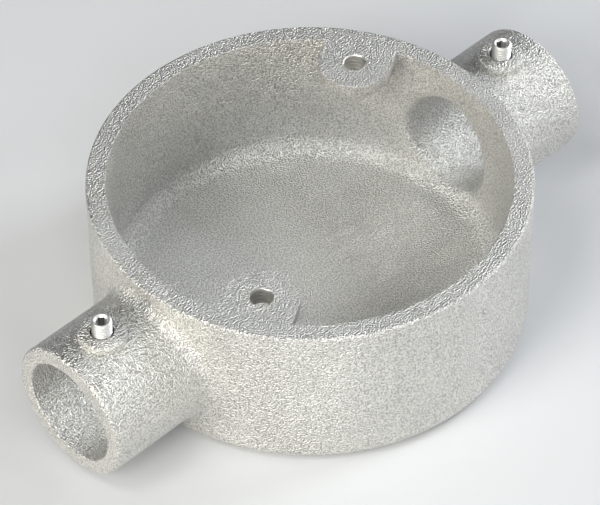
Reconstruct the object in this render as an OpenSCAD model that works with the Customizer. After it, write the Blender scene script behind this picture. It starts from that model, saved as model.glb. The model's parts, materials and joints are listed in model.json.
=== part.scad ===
// Two-way through conduit box, cast in metal.
// A round bowl with a conduit spout on either side, in one line. A grub screw in
// the top of each spout clamps the conduit, and two tapped lugs inside the rim
// take the lid's screws. The spouts lie along X and the base stands on Z = 0.

/* [Bowl] */
// Outer diameter of the round box
box_d = 65.5; // [62:0.5:80]
// Height from the base to the rim
box_h = 26; // [25:0.5:40]
// Thickness of the round wall
wall_t = 3; // [2:0.25:4]
// Thickness of the floor
floor_t = 3; // [2:0.25:4]
// Radius of the rounded outer edge of the base
base_edge_r = 2.6; // [1:0.2:4]
// Radius of the hollow corner between the floor and the wall
floor_fillet_r = 3; // [1:0.25:5]
// Radius of the rim's rounded outer edge
rim_edge_r = 0.4; // [0.2:0.1:0.8]
// Radius that breaks the rim's inner edge
rim_inner_edge_r = 0.15; // [0.05:0.05:0.8]

/* [Spouts] */
// Distance between the ends of the two spouts
overall_l = 96; // [90:1:120]
// Outer diameter of a spout
spout_d = 21; // [19:0.5:23]
// Height of the spouts' axis above the base
spout_axis_h = 12.2; // [12:0.2:16]
// Bore that takes the conduit
conduit_bore_d = 16; // [12:0.5:17]
// Radius of the rounded outer edge of a spout's end
spout_edge_r = 0.6; // [0.2:0.1:1]
// Radius of the hollow corner where a spout leaves the wall
spout_fillet_r = 2; // [0.5:0.25:3]
// Radius of the rounded mouth of the bore inside the box
mouth_r = 1.5; // [0.5:0.25:2]
// Width of the bevel on the bore's edge at a spout's end
bore_bevel = 0.15; // [0.05:0.05:0.6]

/* [Clamp screws] */
// Distance between the two clamp screws
screw_spacing = 81.8; // [78:0.2:86]
// Thread diameter of a clamp screw
screw_d = 3; // [2.5:0.5:4]
// Length of a clamp screw
screw_l = 5; // [4:0.5:6]
// Height of the screw above its pad, backed out for a conduit to enter
screw_rise = 2.3; // [1.5:0.05:3]
// Clearance between the screw and the wall of its hole
screw_clearance = 0.05; // [0.02:0.01:0.1]
// Width of the bevel on the mouth of the screw's hole
screw_hole_bevel = 0.2; // [0.1:0.05:0.4]
// Size of the screw's hexagon socket across its flats
socket_af = 1.5; // [1.3:0.1:1.8]
// Depth of the hexagon socket
socket_depth = 2; // [1:0.1:2.5]
// Turn of the left screw's socket about its axis
left_socket_turn = 21; // [0:1:60]
// Turn of the right screw's socket about its axis
right_socket_turn = 45; // [0:1:60]
// Diameter of the raised pad around a clamp screw
pad_d = 7; // [6:0.5:9]
// Height of the pad above the crest of the spout
pad_rise = 1; // [0.5:0.1:2]
// Radius of the pad's rounded edge
pad_edge_r = 0.5; // [0.2:0.1:0.8]

/* [Lid lugs] */
// Distance between the two lid screws
lid_screw_spacing = 50.8; // [46:0.2:52]
// Angle between the line through the lid screws and the spouts
lug_angle = 30; // [28:1:60]
// Width of a lug
lug_w = 11; // [9:0.1:13]
// Thickness of a lug
lug_t = 2.8; // [2.4:0.1:4]
// Radius of the rounded edge on top of a lug
lug_top_r = 0.3; // [0.2:0.1:1.3]
// Radius of the rounded edge underneath a lug
lug_under_r = 1.2; // [0.6:0.1:1.3]
// Radius of the hollow corner between the underside of a lug and the wall
lug_fillet_r = 3; // [1:0.25:4]
// Diameter of the tapped hole for a lid screw
lid_hole_d = 3.4; // [3:0.1:4.2]

/* [Hidden] */
$fn = 96;

casting_color = [0.78, 0.78, 0.75];
screw_color = [0.86, 0.86, 0.84];

outer_r = box_d / 2;
inner_r = outer_r - wall_t;
spout_r = spout_d / 2;
spout_end_x = overall_l / 2;
bore_r = conduit_bore_d / 2;
screw_x = screw_spacing / 2;
screw_r = screw_d / 2;
pad_top_z = spout_axis_h + spout_r + pad_rise;
screw_top_z = pad_top_z + screw_rise;
lid_hole_r = lid_hole_d / 2;
lug_tip_r = lug_w / 2;
lug_x = lid_screw_spacing / 2;

// A spout starts inside the wall, outside the bowl's hollow.
spout_start_x = inner_r + wall_t / 6;
// The rounded corner on top of a spout stays below the rim's own edge.
room_over_spout = box_h - rim_edge_r - spout_axis_h - spout_r - 0.1;
corner_r = min(spout_fillet_r, room_over_spout);

// How far a cut runs past the face that it opens
past = 1;
// How far a blend is set into the metal that it joins
blend_sink = 0.05;
// Stations around a blend, and steps across it
blend_stations = 36;
blend_steps = 5;
// A blend's buried edge lies this much deeper than the corner that it fills
blend_depth = 1.25;

screw_bevel = screw_d / 12;
// The socket's mouth is countersunk just past the corners of the hexagon
socket_r = socket_af / 2 / cos(30);
socket_mouth_r = 1.05 * socket_r;
socket_cone_tip_r = socket_af / 8;

// Point of the ball that rolls along the corner between a round wall and a tube
// that runs out of it along X. Below edge_z the wall turns in with radius edge_r.
function ball_centre(turn, wall_r, edge_r, edge_z, tube_r, ball_r) =
    let (
        y = (tube_r + ball_r) * cos(turn),
        z = spout_axis_h + (tube_r + ball_r) * sin(turn),
        drop = max(0, edge_z - z),
        reach = wall_r - edge_r + sqrt(pow(edge_r + ball_r, 2) - pow(drop, 2))
    )
    [sqrt(pow(reach, 2) - pow(y, 2)), y, z];

function unit(v) = v / norm(v);

// Direction from the ball's centre to the point where it touches the wall
function to_wall(centre, wall_r, edge_r, edge_z) =
    let (
        out = unit([centre.x, centre.y]) * (wall_r - edge_r),
        level = max(centre.z, edge_z)
    )
    unit([out.x - centre.x, out.y - centre.y, level - centre.z]);

// Direction from the ball's centre to the point where it touches the tube
function to_tube(centre) = unit([0, -centre.y, spout_axis_h - centre.z]);

// Direction between two others, part of the way from the first to the second
function between(first, second, part) =
    let (angle = acos(first * second))
    (first * sin((1 - part) * angle) + second * sin(part * angle)) / sin(angle);

// Section of the blend at one station: across the ball's face and round the corner
function blend_section(turn, wall_r, edge_r, edge_z, tube_r, ball_r) =
    let (
        centre = ball_centre(turn, wall_r, edge_r, edge_z, tube_r, ball_r),
        wall_way = to_wall(centre, wall_r, edge_r, edge_z),
        tube_way = to_tube(centre),
        corner = (wall_way + tube_way) / (1 + wall_way * tube_way)
    )
    concat(
        [centre + (ball_r + blend_sink) * wall_way],
        [for (i = [1:blend_steps - 1])
            centre + ball_r * between(wall_way, tube_way, i / blend_steps)],
        [centre + (ball_r + blend_sink) * tube_way],
        [centre + blend_depth * ball_r * corner]
    );

// Closed ring that fills the hollow corner around a tube, or, as a cut, rounds
// the edge where a bore opens into the bowl
module corner_blend(wall_r, edge_r, edge_z, tube_r, ball_r) {
    points_each = blend_steps + 2;
    points = [
        for (s = [0:blend_stations - 1])
            each blend_section(s * 360 / blend_stations,
                wall_r, edge_r, edge_z, tube_r, ball_r)
    ];
    function at(s, i) =
        (s % blend_stations) * points_each + i % points_each;
    faces = [
        for (s = [0:blend_stations - 1], i = [0:points_each - 1])
            each [
                [at(s, i), at(s, i + 1), at(s + 1, i + 1)],
                [at(s, i), at(s + 1, i + 1), at(s + 1, i)]
            ]
    ];
    polyhedron(points, faces, convexity = 8);
}

module both_spouts() {
    for (turn = [0, 180]) rotate([0, 0, turn]) children();
}

module both_lugs() {
    for (turn = [0, 180]) rotate([0, 0, lug_angle + turn]) children();
}

// Half section of the bowl's outside, in radius and height
module bowl_outside_section() {
    square([outer_r - base_edge_r, box_h]);
    translate([0, base_edge_r])
        square([outer_r - rim_edge_r, box_h - base_edge_r]);
    translate([0, base_edge_r])
        square([outer_r, box_h - base_edge_r - rim_edge_r]);
    translate([outer_r - base_edge_r, base_edge_r]) circle(base_edge_r);
    translate([outer_r - rim_edge_r, box_h - rim_edge_r]) circle(rim_edge_r);
}

// Half section of the bowl's hollow, with its fillet at the floor
module bowl_hollow_section() {
    flat_r = inner_r - floor_fillet_r;
    wall_foot_z = floor_t + floor_fillet_r;
    translate([0, floor_t]) square([flat_r, box_h]);
    translate([0, wall_foot_z]) square([inner_r, box_h]);
    translate([flat_r, wall_foot_z]) circle(floor_fillet_r);
    difference() {
        translate([inner_r - rim_inner_edge_r, box_h - rim_inner_edge_r])
            square([2 * rim_inner_edge_r, past]);
        translate([inner_r + rim_inner_edge_r, box_h - rim_inner_edge_r])
            circle(rim_inner_edge_r);
    }
}

module bowl() {
    rotate_extrude()
        difference() {
            bowl_outside_section();
            bowl_hollow_section();
        }
}

module spout() {
    spout_l = spout_end_x - spout_start_x;
    translate([spout_start_x, 0, spout_axis_h])
        rotate([0, 90, 0])
            rotate_extrude() {
                square([spout_r - spout_edge_r, spout_l]);
                square([spout_r, spout_l - spout_edge_r]);
                translate([spout_r - spout_edge_r, spout_l - spout_edge_r])
                    circle(spout_edge_r);
            }
}

module spout_corner() {
    corner_blend(outer_r, base_edge_r, base_edge_r, spout_r, corner_r);
}

// Raised pad that thickens the spout where the clamp screw is tapped
module screw_pad() {
    pad_r = pad_d / 2;
    pad_h = pad_top_z - spout_axis_h;
    translate([screw_x, 0, spout_axis_h])
        rotate_extrude() {
            square([pad_r - pad_edge_r, pad_h]);
            square([pad_r, pad_h - pad_edge_r]);
            translate([pad_r - pad_edge_r, pad_h - pad_edge_r])
                circle(pad_edge_r);
        }
}

// Half section across a lug, from its middle to its two rounded edges
module lug_half_section() {
    flat_l = lug_tip_r - lug_under_r;
    translate([0, lug_t / 2]) square([lug_tip_r - lug_top_r, lug_t / 2]);
    square([flat_l, lug_t]);
    translate([0, lug_under_r])
        square([lug_tip_r, lug_t - lug_under_r - lug_top_r]);
    translate([flat_l, lug_under_r]) circle(lug_under_r);
    translate([lug_tip_r - lug_top_r, lug_t - lug_top_r]) circle(lug_top_r);
}

// Metal that fills the corner between a lug's underside and the wall
module lug_fillet() {
    from_x = inner_r - lug_fillet_r + blend_sink;
    from_z = box_h - lug_t - lug_fillet_r + blend_sink;
    fillet_h = lug_fillet_r + lug_t / 2;
    half_turn = asin((lug_tip_r - lug_under_r / 2) / inner_r);
    rotate([0, 0, -half_turn])
        rotate_extrude(angle = 2 * half_turn)
            difference() {
                translate([from_x, from_z])
                    square([lug_fillet_r + wall_t / 2, fillet_h]);
                translate([from_x, from_z]) circle(lug_fillet_r);
            }
}

// Lug for a lid screw: a plate flush with the rim, round at its free end
module lid_lug() {
    wall_mid = inner_r + wall_t / 2;
    translate([lug_x, 0, box_h - lug_t])
        rotate_extrude() lug_half_section();
    translate([lug_x, 0, box_h - lug_t])
        rotate([90, 0, 90])
            linear_extrude(wall_mid - lug_x)
                for (side = [0, 1]) mirror([side, 0]) lug_half_section();
    lug_fillet();
}

module conduit_bore() {
    bore_from = inner_r - floor_fillet_r;
    translate([bore_from, 0, spout_axis_h])
        rotate([0, 90, 0])
            cylinder(r = bore_r, h = spout_end_x + past - bore_from);
    translate([spout_end_x - bore_bevel, 0, spout_axis_h])
        rotate([0, 90, 0])
            cylinder(r1 = bore_r, r2 = bore_r + 2 * bore_bevel, h = 2 * bore_bevel);
    corner_blend(inner_r, floor_fillet_r, floor_t + floor_fillet_r, bore_r, mouth_r);
}

module screw_hole() {
    hole_r = screw_r + screw_clearance;
    translate([screw_x, 0, spout_axis_h])
        cylinder(r = hole_r, h = pad_top_z + past - spout_axis_h);
    translate([screw_x, 0, pad_top_z - screw_hole_bevel])
        cylinder(r1 = hole_r, r2 = hole_r + 2 * screw_hole_bevel, h = 2 * screw_hole_bevel);
}

module lid_screw_hole() {
    hole_l = lug_t + lug_fillet_r + past;
    translate([lug_x, 0, box_h + past - hole_l])
        cylinder(r = lid_hole_r, h = hole_l);
}

module box_casting() {
    color(casting_color)
        difference() {
            union() {
                bowl();
                both_spouts() {
                    spout();
                    spout_corner();
                    screw_pad();
                }
                both_lugs() lid_lug();
            }
            both_spouts() {
                conduit_bore();
                screw_hole();
            }
            both_lugs() lid_screw_hole();
        }
}

// Headless clamp screw with a hexagon socket and a flat point
module grub_screw(socket_turn) {
    cone_h = socket_mouth_r - socket_cone_tip_r + past;
    color(screw_color)
        translate([0, 0, screw_top_z - screw_l])
            difference() {
                union() {
                    cylinder(r1 = screw_r - screw_bevel, r2 = screw_r, h = screw_bevel);
                    translate([0, 0, screw_bevel])
                        cylinder(r = screw_r, h = screw_l - 2 * screw_bevel);
                    translate([0, 0, screw_l - screw_bevel])
                        cylinder(r1 = screw_r, r2 = screw_r - screw_bevel, h = screw_bevel);
                }
                rotate([0, 0, socket_turn])
                    translate([0, 0, screw_l - socket_depth])
                        cylinder(r = socket_r, h = socket_depth + past, $fn = 6);
                translate([0, 0, screw_l + past - cone_h])
                    cylinder(r1 = socket_cone_tip_r, r2 = socket_mouth_r + past, h = cone_h);
            }
}

module left_grub_screw() {
    translate([-screw_x, 0, 0]) grub_screw(left_socket_turn);
}

module right_grub_screw() {
    translate([screw_x, 0, 0]) grub_screw(right_socket_turn);
}

box_casting();
left_grub_screw();
right_grub_screw();
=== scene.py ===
# Two-way through conduit box: a cast bowl with two spouts in line, clamp screws
# in the spouts and tapped lugs for the lid. Lengths are in metres.
import json
import math

import bmesh
import bpy
from mathutils import Matrix, Vector


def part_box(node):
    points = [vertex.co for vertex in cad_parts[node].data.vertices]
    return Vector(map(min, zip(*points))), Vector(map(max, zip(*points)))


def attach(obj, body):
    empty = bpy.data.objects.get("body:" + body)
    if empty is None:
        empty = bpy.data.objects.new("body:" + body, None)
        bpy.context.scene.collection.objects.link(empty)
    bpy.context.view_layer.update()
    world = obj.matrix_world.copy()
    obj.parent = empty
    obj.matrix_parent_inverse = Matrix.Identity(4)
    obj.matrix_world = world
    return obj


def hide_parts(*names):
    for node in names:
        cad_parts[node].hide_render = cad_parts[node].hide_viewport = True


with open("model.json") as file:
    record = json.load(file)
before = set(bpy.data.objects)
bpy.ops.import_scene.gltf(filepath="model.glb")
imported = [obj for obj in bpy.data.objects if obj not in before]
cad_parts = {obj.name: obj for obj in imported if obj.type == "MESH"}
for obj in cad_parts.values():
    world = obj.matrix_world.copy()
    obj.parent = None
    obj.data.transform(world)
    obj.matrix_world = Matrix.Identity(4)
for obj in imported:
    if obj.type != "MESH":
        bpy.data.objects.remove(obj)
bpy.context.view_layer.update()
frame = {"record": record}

# The camera looks down into the bowl past the left spout. Its place and turn are
# those that put the rim, the base and both spouts where the photograph has them.
camera_azimuth = math.radians(-43.996)
camera_elevation = math.radians(45.578)
camera_roll = math.radians(-0.636)
camera_place = Vector((-0.236656, -0.242850, 0.356013))
back = Vector((
    math.sin(camera_azimuth) * math.cos(camera_elevation),
    -math.cos(camera_azimuth) * math.cos(camera_elevation),
    math.sin(camera_elevation),
))
level_right = Vector((math.cos(camera_azimuth), math.sin(camera_azimuth), 0))
level_up = back.cross(level_right)
camera_right = math.cos(camera_roll) * level_right + math.sin(camera_roll) * level_up
camera_up = math.cos(camera_roll) * level_up - math.sin(camera_roll) * level_right
camera_data = bpy.data.cameras.new("camera")
camera_data.lens = 194.785
camera_data.sensor_fit = "HORIZONTAL"
camera_data.sensor_width = 36
camera_data.clip_start = 0.01
camera_data.clip_end = 10
camera = bpy.data.objects.new("camera", camera_data)
camera_turn = Matrix((camera_right, camera_up, back)).transposed().to_4x4()
camera.matrix_world = Matrix.Translation(camera_place) @ camera_turn
bpy.context.scene.collection.objects.link(camera)
bpy.context.scene.camera = camera

# The box casting is poured in one piece in a light alloy: bowl, spouts, screw
# pads and lid lugs. The pattern's corners are rounded, and the mould has left a
# pebbled skin on every face. The screw holes are drilled and tapped afterwards.
mounts = {mount["name"]: mount for mount in frame["record"]["mounts"]}
right_bore = mounts["right_conduit_bore"]
lid_holes = mounts["lid_screw_holes"]
casting_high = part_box("box_casting")[1]
screw_low, screw_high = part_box("right_grub_screw")

bowl_radius = casting_high.y
bowl_height = casting_high.z
wall_thickness = 0.003
wall_inside = bowl_radius - wall_thickness
floor_thickness = 0.003
floor_fillet = 0.003
base_round = 0.0026
rim_round = 0.0004
rim_inner_round = 0.00008
spout_end = casting_high.x
spout_height = right_bore["pos_m"][2]
spout_radius = 0.0105
spout_end_round = 0.0006
bore_radius = right_bore["dims"]["r_mm"] / 1000
bore_bevel = 0.00015
spout_fillet = 0.002
bore_mouth_round = 0.0015
pad_radius = 0.0035
pad_rise = 0.001
pad_top = spout_height + spout_radius + pad_rise
pad_round = 0.0005
screw_place = (screw_low.x + screw_high.x) / 2
lug_place = lid_holes["dims"]["pcd_mm"] / 2000
lug_angle = math.radians(30)
lug_half_width = 0.0055
lug_underside = bowl_height - 0.0028
lug_top_round = 0.0001
lug_under_round = 0.0012
lug_fillet = 0.003
lug_web_sweep = math.radians(19)
# A cut runs this far past the face that it opens.
past = 0.001


def arc(centre, radius, start, end, steps=8):
    """Points along a round corner of an outline, in radius and height."""
    angles = [math.radians(start + (end - start) * i / steps) for i in range(steps + 1)]
    return [
        (centre[0] + radius * math.cos(angle), centre[1] + radius * math.sin(angle))
        for angle in angles
    ]


def turned(outline, steps=128, closed=False, sweep=2 * math.pi):
    """A solid turned about Z. An open outline starts and ends on the axis; a closed
    one is swept through part of a turn, half to either side of X."""
    bm = bmesh.new()
    verts = [bm.verts.new((radius, 0, height)) for radius, height in outline]
    pairs = list(zip(verts, verts[1:])) + closed * [(verts[-1], verts[0])]
    edges = [bm.edges.new(pair) for pair in pairs]
    bmesh.ops.spin(
        bm, geom=verts + edges, cent=(0, 0, 0), axis=(0, 0, 1),
        angle=sweep, steps=steps, use_merge=not closed,
    )
    bmesh.ops.remove_doubles(bm, verts=bm.verts, dist=1e-7)
    if closed:
        bmesh.ops.rotate(
            bm, verts=bm.verts, cent=(0, 0, 0), matrix=Matrix.Rotation(-sweep / 2, 3, "Z")
        )
        bmesh.ops.holes_fill(bm, edges=[e for e in bm.edges if e.is_boundary])
    bmesh.ops.recalc_face_normals(bm, faces=bm.faces)
    return bm


def piece(name, bm, place=Matrix.Identity(4)):
    """A finished bmesh as an object, with its place in its mesh."""
    bmesh.ops.transform(bm, matrix=place, verts=bm.verts)
    mesh = bpy.data.meshes.new(name)
    bm.to_mesh(mesh)
    bm.free()
    made = bpy.data.objects.new(name, mesh)
    bpy.context.scene.collection.objects.link(made)
    return made


def apply_modifiers(made):
    """Gives the object the mesh that its modifiers make, and clears them."""
    evaluated = made.evaluated_get(bpy.context.evaluated_depsgraph_get())
    finished = bpy.data.meshes.new_from_object(evaluated)
    made.modifiers.clear()
    made.data = finished


def combine(made, operation, *others):
    """Joins, cuts or meets the object with the others, which are used up."""
    for other in others:
        modifier = made.modifiers.new(other.name, "BOOLEAN")
        modifier.object = other
        modifier.operation = operation
        modifier.solver = "MANIFOLD"
    apply_modifiers(made)
    for other in others:
        bpy.data.objects.remove(other)


bowl_outline = (
    [(0, 0)]
    + arc((bowl_radius - base_round, base_round), base_round, -90, 0)
    + arc((bowl_radius - rim_round, bowl_height - rim_round), rim_round, 0, 90)
    + arc((wall_inside + rim_inner_round, bowl_height - rim_inner_round),
          rim_inner_round, 90, 180)
    + arc((wall_inside - floor_fillet, floor_thickness + floor_fillet), floor_fillet, 0, -90)
    + [(0, floor_thickness)]
)
# Each spout starts within the wall, so that none of it stands in the bowl.
spout_start = wall_inside + wall_thickness / 6
spout_corner = (spout_radius - spout_end_round, spout_end - spout_end_round)
spout_outline = (
    [(0, spout_start), (spout_radius, spout_start)]
    + arc(spout_corner, spout_end_round, 0, 90)
    + [(0, spout_end)]
)
bore_start = wall_inside - floor_fillet
bore_outline = [
    (0, bore_start),
    (bore_radius, bore_start),
    (bore_radius, spout_end - bore_bevel),
    (bore_radius + bore_bevel + past, spout_end + past),
    (0, spout_end + past),
]
pad_outline = (
    [(0, spout_height), (pad_radius, spout_height)]
    + arc((pad_radius - pad_round, pad_top - pad_round), pad_round, 0, 90)
    + [(0, pad_top)]
)
lug_outline = (
    [(0, lug_underside)]
    + arc((lug_half_width - lug_under_round, lug_underside + lug_under_round),
          lug_under_round, -90, 0)
    + arc((lug_half_width - lug_top_round, bowl_height - lug_top_round),
          lug_top_round, 0, 90)
    + [(0, bowl_height)]
)
lug_web_outline = (
    arc((wall_inside - lug_fillet, lug_underside - lug_fillet), lug_fillet, 0, 90)
    + [
        (wall_inside - lug_fillet, lug_underside + past),
        (wall_inside + past, lug_underside + past),
        (wall_inside + past, lug_underside - lug_fillet),
    ]
)


def lug_bar():
    """The straight part of a lug, from its screw to the middle of the wall."""
    bm = bmesh.new()
    across = lug_outline + [(-y, z) for y, z in reversed(lug_outline[1:-1])]
    end = bm.faces.new([bm.verts.new((lug_place, y, z)) for y, z in across])
    grown = bmesh.ops.extrude_face_region(bm, geom=[end])
    moved = [v for v in grown["geom"] if isinstance(v, bmesh.types.BMVert)]
    length = wall_inside + wall_thickness / 2 - lug_place
    bmesh.ops.translate(bm, verts=moved, vec=(length, 0, 0))
    bmesh.ops.recalc_face_normals(bm, faces=bm.faces)
    return bm


def corner_ring(wall_radius, edge_round, edge_height, tube_radius, ball_radius):
    """The closed ring swept by a ball that rolls along the corner between a round
    wall and a tube that leaves it along X. It fills the corner around a spout and,
    as a cut, rounds the mouth of a bore. At each station it has an arc that is sunk
    a little at both ends, and a point that lies past the corner."""
    stations = 96
    steps = 8
    sink = 0.00005
    past_corner = 1.25
    bm = bmesh.new()
    rings = []
    for station in range(stations):
        turn = 2 * math.pi * station / stations
        y = (tube_radius + ball_radius) * math.cos(turn)
        z = spout_height + (tube_radius + ball_radius) * math.sin(turn)
        drop = max(0, edge_height - z)
        reach = wall_radius - edge_round + math.sqrt((edge_round + ball_radius) ** 2 - drop ** 2)
        centre = Vector((math.sqrt(reach ** 2 - y ** 2), y, z))
        edge = Vector((centre.x, y, 0)).normalized() * (wall_radius - edge_round)
        edge.z = max(z, edge_height)
        to_wall = (edge - centre).normalized()
        to_tube = Vector((0, -y, spout_height - z)).normalized()
        points = [centre + (ball_radius + sink) * to_wall]
        points += [
            centre + ball_radius * to_wall.slerp(to_tube, i / steps) for i in range(1, steps)
        ]
        points.append(centre + (ball_radius + sink) * to_tube)
        corner = (to_wall + to_tube) / (1 + to_wall.dot(to_tube))
        points.append(centre + past_corner * ball_radius * corner)
        ring = [bm.verts.new(point) for point in points]
        rings.append([bm.edges.new(pair) for pair in zip(ring, ring[1:] + ring[:1])])
    for first, second in zip(rings, rings[1:] + rings[:1]):
        bmesh.ops.bridge_loops(bm, edges=first + second)
    bmesh.ops.recalc_face_normals(bm, faces=bm.faces)
    return bm


casting = piece("cast_box", turned(bowl_outline, steps=192))
half_turns = (Matrix.Identity(4), Matrix.Rotation(math.pi, 4, "Z"))
wall_foot = floor_thickness + floor_fillet
for half_turn in half_turns:
    spout_way = (
        half_turn
        @ Matrix.Translation((0, 0, spout_height))
        @ Matrix.Rotation(math.pi / 2, 4, "Y")
    )
    pad_way = half_turn @ Matrix.Translation((screw_place, 0, 0))
    lug_way = half_turn @ Matrix.Rotation(lug_angle, 4, "Z")
    combine(
        casting, "UNION",
        piece("spout", turned(spout_outline), spout_way),
        piece(
            "spout_corner",
            corner_ring(bowl_radius, base_round, base_round, spout_radius, spout_fillet),
            half_turn,
        ),
        piece("pad", turned(pad_outline), pad_way),
        piece("lug_tip", turned(lug_outline), lug_way @ Matrix.Translation((lug_place, 0, 0))),
        piece("lug_bar", lug_bar(), lug_way),
        piece(
            "lug_web",
            turned(lug_web_outline, steps=16, closed=True, sweep=lug_web_sweep),
            lug_way,
        ),
    )
    combine(
        casting, "DIFFERENCE",
        piece("bore", turned(bore_outline), spout_way),
        piece(
            "bore_mouth",
            corner_ring(wall_inside, floor_fillet, wall_foot, bore_radius, bore_mouth_round),
            half_turn,
        ),
    )


def thread(root, crest, pitch, low, high):
    """A right-hand screw thread on Z that runs at least from low to high. Each turn has
    a flat root, a slope, a flat crest and a slope back, as shares of the pitch."""
    root_end = 0.25
    crest_start = 0.5625
    crest_end = 0.6875
    turn = [(root, 0), (root, root_end), (crest, crest_start), (crest, crest_end)]
    bm = bmesh.new()
    turns = math.ceil((high - low) / pitch) + 2
    verts = [
        bm.verts.new((radius, 0, low + (i - 2 + part) * pitch))
        for i in range(turns + 1)
        for radius, part in turn
    ]
    edges = [bm.edges.new(pair) for pair in zip(verts, verts[1:])]
    steps = 48
    bmesh.ops.spin(
        bm, geom=verts + edges, cent=(0, 0, 0), axis=(0, 0, 1),
        dvec=(0, 0, pitch / steps), angle=2 * math.pi, steps=steps,
    )
    bmesh.ops.remove_doubles(bm, verts=bm.verts, dist=1e-6)
    bmesh.ops.holes_fill(bm, edges=[e for e in bm.edges if e.is_boundary])
    bmesh.ops.triangulate(bm, faces=[f for f in bm.faces if len(f.verts) > 4])
    bmesh.ops.recalc_face_normals(bm, faces=bm.faces)
    return bm


screw_radius = (screw_high.x - screw_low.x) / 2
screw_clearance = 0.0002
screw_hole_radius = screw_radius + screw_clearance
screw_hole_bevel = 0.00004
screw_hole_outline = [
    (0, spout_height),
    (screw_hole_radius, spout_height),
    (screw_hole_radius, pad_top - screw_hole_bevel),
    (screw_hole_radius + screw_hole_bevel + past, pad_top + past),
    (0, pad_top + past),
]
tapping_radius = 0.0016
lid_thread_radius = 0.00172
lid_thread_pitch = 0.0007
countersink_radius = 0.00174
countersink_depth = 0.001
countersink_outline = [
    (0, bowl_height - countersink_depth),
    (countersink_radius - countersink_depth, bowl_height - countersink_depth),
    (countersink_radius + past, bowl_height + past),
    (0, bowl_height + past),
]
for half_turn in half_turns:
    screw_way = half_turn @ Matrix.Translation((screw_place, 0, 0))
    lid_way = (
        half_turn
        @ Matrix.Rotation(lug_angle, 4, "Z")
        @ Matrix.Translation((lug_place, 0, 0))
    )
    lid_thread = thread(
        tapping_radius, lid_thread_radius, lid_thread_pitch,
        lug_underside - past, bowl_height + past,
    )
    combine(
        casting, "DIFFERENCE",
        piece("screw_hole", turned(screw_hole_outline, steps=64), screw_way),
        piece("lid_thread", lid_thread, lid_way),
        piece("countersink", turned(countersink_outline, steps=64), lid_way),
    )


def finish(made, sharp_angle, material):
    """Smooth faces with crisp edges, all in one material."""
    made.data.shade_smooth()
    made.data.set_sharp_from_angle(angle=math.radians(sharp_angle))
    shading = made.modifiers.new("shading", "WEIGHTED_NORMAL")
    shading.keep_sharp = True
    apply_modifiers(made)
    made.data.materials.clear()
    made.data.materials.append(material)


def add_node(tree, kind, **settings):
    """A node with its settings and its sockets' values."""
    made = tree.nodes.new(kind)
    for name, value in settings.items():
        if hasattr(made, name):
            setattr(made, name, value)
        else:
            made.inputs[name.replace("_", " ").title()].default_value = value
    return made


def patchy_metal(name, dullness, patch_scale, patch_detail, patch_roughness=0.5):
    """A bare metal that is duller in some patches than in others."""
    metal = bpy.data.materials.new(name)
    metal.use_nodes = True
    tree = metal.node_tree
    shader = tree.nodes["Principled BSDF"]
    shader.inputs["Metallic"].default_value = 1
    place = add_node(tree, "ShaderNodeTexCoord", name="place")
    patches = add_node(
        tree, "ShaderNodeTexNoise", name="patches",
        scale=patch_scale, detail=patch_detail, roughness=patch_roughness,
    )
    tree.links.new(place.outputs["Object"], patches.inputs["Vector"])
    dull_range = add_node(tree, "ShaderNodeMapRange", to_min=dullness[0], to_max=dullness[1])
    tree.links.new(patches.outputs["Fac"], dull_range.inputs["Value"])
    tree.links.new(dull_range.outputs["Result"], shader.inputs["Roughness"])
    return metal


def patch_tones(metal, darker, lighter):
    """A colour that goes from darker to lighter over the metal's patches."""
    tree = metal.node_tree
    tone = add_node(tree, "ShaderNodeValToRGB")
    tone.color_ramp.elements[0].position = 0.3
    tone.color_ramp.elements[0].color = (*darker, 1)
    tone.color_ramp.elements[1].position = 0.7
    tone.color_ramp.elements[1].color = (*lighter, 1)
    tree.links.new(tree.nodes["patches"].outputs["Fac"], tone.inputs["Fac"])
    return tone.outputs["Color"]


# The cast skin has a grain of tiny pits, which are darker than the metal round them.
cast_metal = patchy_metal(
    "grained_cast_metal", (0.42, 0.52), patch_scale=70, patch_detail=4, patch_roughness=0.6,
)
tree = cast_metal.node_tree
shader = tree.nodes["Principled BSDF"]
grain = add_node(tree, "ShaderNodeTexNoise", scale=4000, detail=0.3, roughness=0.55)
tree.links.new(tree.nodes["place"].outputs["Object"], grain.inputs["Vector"])
bump = add_node(tree, "ShaderNodeBump", strength=1, distance=0.00036)
tree.links.new(grain.outputs["Fac"], bump.inputs["Height"])
tree.links.new(bump.outputs["Normal"], shader.inputs["Normal"])
skin_tones = patch_tones(cast_metal, (0.745, 0.74, 0.72), (0.85, 0.845, 0.825))
pits = add_node(tree, "ShaderNodeMapRange", from_min=0.35, from_max=0.6, to_min=0.6, to_max=1)
tree.links.new(grain.outputs["Fac"], pits.inputs["Value"])
pitted = add_node(tree, "ShaderNodeVectorMath", operation="SCALE")
tree.links.new(skin_tones, pitted.inputs[0])
tree.links.new(pits.outputs["Result"], pitted.inputs["Scale"])
tree.links.new(pitted.outputs["Vector"], shader.inputs["Base Color"])
finish(casting, sharp_angle=35, material=cast_metal)

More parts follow.
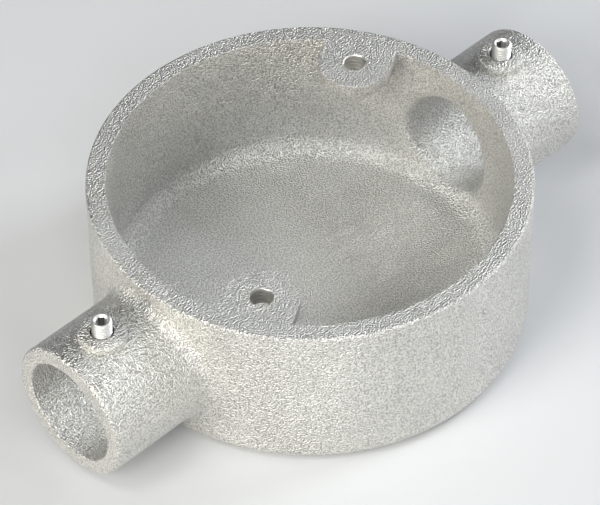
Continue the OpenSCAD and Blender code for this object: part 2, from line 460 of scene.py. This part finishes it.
# Drilling and tapping cut through the skin and leave the holes' walls smooth. The screw
# holes' walls are painted dark, as painted shade for the deep gap round each screw.
drilled_metal = patchy_metal("drilled_metal", (0.3, 0.46), patch_scale=900, patch_detail=2)
shader = drilled_metal.node_tree.nodes["Principled BSDF"]
shader.inputs["Base Color"].default_value = (0.7, 0.69, 0.66, 1)
painted_shade_metal = patchy_metal("painted_shade_dark_metal", (0.4, 0.6), patch_scale=1200, patch_detail=2)
shader = painted_shade_metal.node_tree.nodes["Principled BSDF"]
shader.inputs["Base Color"].default_value = (0.2, 0.2, 0.19, 1)
casting.data.materials.append(drilled_metal)
casting.data.materials.append(painted_shade_metal)
hole_margin = 0.0001
drilled_holes = [
    (lug_place, lug_angle, lid_thread_radius + hole_margin, 1),
    (screw_place, 0, screw_hole_radius + hole_margin, 2),
]
for face in casting.data.polygons:
    for out, turn, reach, slot in drilled_holes:
        axis = Vector((out * math.cos(turn), out * math.sin(turn)))
        off_axis = min((face.center.xy - side * axis).length for side in (-1, 1))
        lies_flat = abs(face.normal.z) > 0.9
        if off_axis < reach and not lies_flat:
            face.material_index = slot
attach(casting, "box")
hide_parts("box_casting")

# The two grub screws are turned from steel bar, threaded over their whole length
# and plated. Each has a hexagon socket, a bevelled head and a flat point, and
# stands backed out of the spout, ready for a conduit to be pushed in.
thread_root = 0.00122
thread_crest = 0.999 * screw_radius
thread_pitch = 0.0005
head_bevel = 0.00025
point_bevel = 0.0005
socket_flats = 0.0015
socket_depth = 0.002
socket_corner = socket_flats / 2 / math.cos(math.radians(30))
socket_mouth_radius = 0.0011
screw_blank_outline = [
    (0, screw_low.z),
    (screw_radius - point_bevel, screw_low.z),
    (screw_radius, screw_low.z + point_bevel),
    (screw_radius, screw_high.z - head_bevel),
    (screw_radius - head_bevel, screw_high.z),
    (0, screw_high.z),
]
socket_mouth_outline = [
    (0, screw_high.z - socket_mouth_radius),
    (socket_mouth_radius + past, screw_high.z + past),
    (0, screw_high.z + past),
]

screw_steel = patchy_metal("bright_screw_steel", (0.46, 0.56), patch_scale=1500, patch_detail=3)
tree = screw_steel.node_tree
plating_tones = patch_tones(screw_steel, (0.7, 0.7, 0.69), (0.8, 0.8, 0.785))
tree.links.new(plating_tones, tree.nodes["Principled BSDF"].inputs["Base Color"])

# The thread is cut from a bevelled blank, and its crests stay just inside it. A corner
# of each socket stands where the photograph shows it. The side next to that corner is
# painted dark here, as painted shade.
for name, side, corner_turn in (("left", -1, 21), ("right", 1, 45)):
    screw_way = Matrix.Translation((side * screw_place, 0, 0))
    screw = piece(
        f"{name}_threaded_grub_screw",
        thread(thread_root, thread_crest, thread_pitch, screw_low.z, screw_high.z),
        screw_way,
    )
    blank = turned(screw_blank_outline, steps=64)
    combine(screw, "INTERSECT", piece("blank", blank, screw_way))
    # A new cone has its first corner on Y, a quarter turn from X.
    socket_turn = Matrix.Rotation(math.radians(corner_turn - 90), 4, "Z")
    socket = bmesh.new()
    bmesh.ops.create_cone(
        socket, cap_ends=True, segments=6,
        radius1=socket_corner, radius2=socket_corner, depth=2 * socket_depth,
        matrix=Matrix.Translation((0, 0, screw_high.z)) @ socket_turn,
    )
    combine(
        screw, "DIFFERENCE",
        piece("socket", socket, screw_way),
        piece("socket_mouth", turned(socket_mouth_outline, steps=48), screw_way),
    )
    finish(screw, sharp_angle=30, material=screw_steel)
    # Painted shade: the socket face that turns away from the lights gets the dark metal.
    screw.data.materials.append(painted_shade_metal)
    dark_turn = math.radians(corner_turn + 30)
    dark_way = Vector((math.cos(dark_turn), math.sin(dark_turn)))
    for face in screw.data.polygons:
        off_axis = (face.center.xy - Vector((side * screw_place, 0))).length
        depth = screw_high.z - face.center.z
        in_socket = off_axis < socket_corner and 0.2 < depth / socket_depth < 1.1
        on_dark_side = face.normal.xy.dot(dark_way) < -0.8
        if in_socket and on_dark_side:
            face.material_index = 1
    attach(screw, f"{name}_screw")
    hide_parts(f"{name}_grub_screw")

# The box stands on a plain pale floor that is painted matt. Soft lights stand round it
# on three levels, the warm ones low to the left and in front, the cool ones to the
# front and the right.
bm = bmesh.new()
bmesh.ops.create_grid(bm, x_segments=1, y_segments=1, size=3)
floor = piece("studio_floor", bm)
floor_paint = bpy.data.materials.new("floor_paint")
floor_paint.use_nodes = True
shader = floor_paint.node_tree.nodes["Principled BSDF"]
shader.inputs["Base Color"].default_value = (0.62, 0.63, 0.65, 1)
shader.inputs["Roughness"].default_value = 0.9
floor.data.materials.append(floor_paint)

world = bpy.data.worlds.new("studio_air")
world.use_nodes = True
air = world.node_tree.nodes["Background"]
air.inputs["Color"].default_value = (0.85, 0.92, 1, 1)
air.inputs["Strength"].default_value = 0.02
bpy.context.scene.world = world

light_size = 0.2
light_distance = 0.7
warm = (1, 0.92, 0.75)
plain = (1, 1, 0.96)
cool = (0.9, 0.94, 1)


def soft_light(name, azimuth, elevation, power, colour):
    """A square soft box that faces the casting from the side and height given in degrees."""
    light = bpy.data.lights.new(name, "AREA")
    light.size = light_size
    light.energy = power
    light.color = colour
    around = math.radians(azimuth)
    above = math.radians(elevation)
    way = Vector((
        math.cos(around) * math.cos(above),
        math.sin(around) * math.cos(above),
        math.sin(above),
    ))
    facing = way.to_track_quat("Z", "Y").to_matrix().to_4x4()
    made = bpy.data.objects.new(name, light)
    made.matrix_world = Matrix.Translation(light_distance * way) @ facing
    bpy.context.scene.collection.objects.link(made)


soft_light("low_right", 0, 12, 1.0, plain)
soft_light("low_left", 180, 12, 2.35, warm)
soft_light("low_front", 240, 12, 0.52, warm)
soft_light("low_front_middle", 270, 12, 0.75, plain)
soft_light("low_front_right", 300, 12, 0.38, warm)
soft_light("left_front", 195, 38, 1.48, plain)
soft_light("left_back", 168, 37, 0.97, plain)
soft_light("front", 231, 38, 0.8, cool)
soft_light("front_right", 267, 38, 0.15, cool)
soft_light("spout_shine", 306, 35, 0.45, plain)
soft_light("right", 339, 38, 2.0, cool)
soft_light("high_left", 180, 64, 1.12, plain)
soft_light("high_front", 240, 64, 0.36, plain)
soft_light("high_back_right", 60, 64, 0.12, plain)

bpy.context.scene.view_settings.view_transform = "Standard"
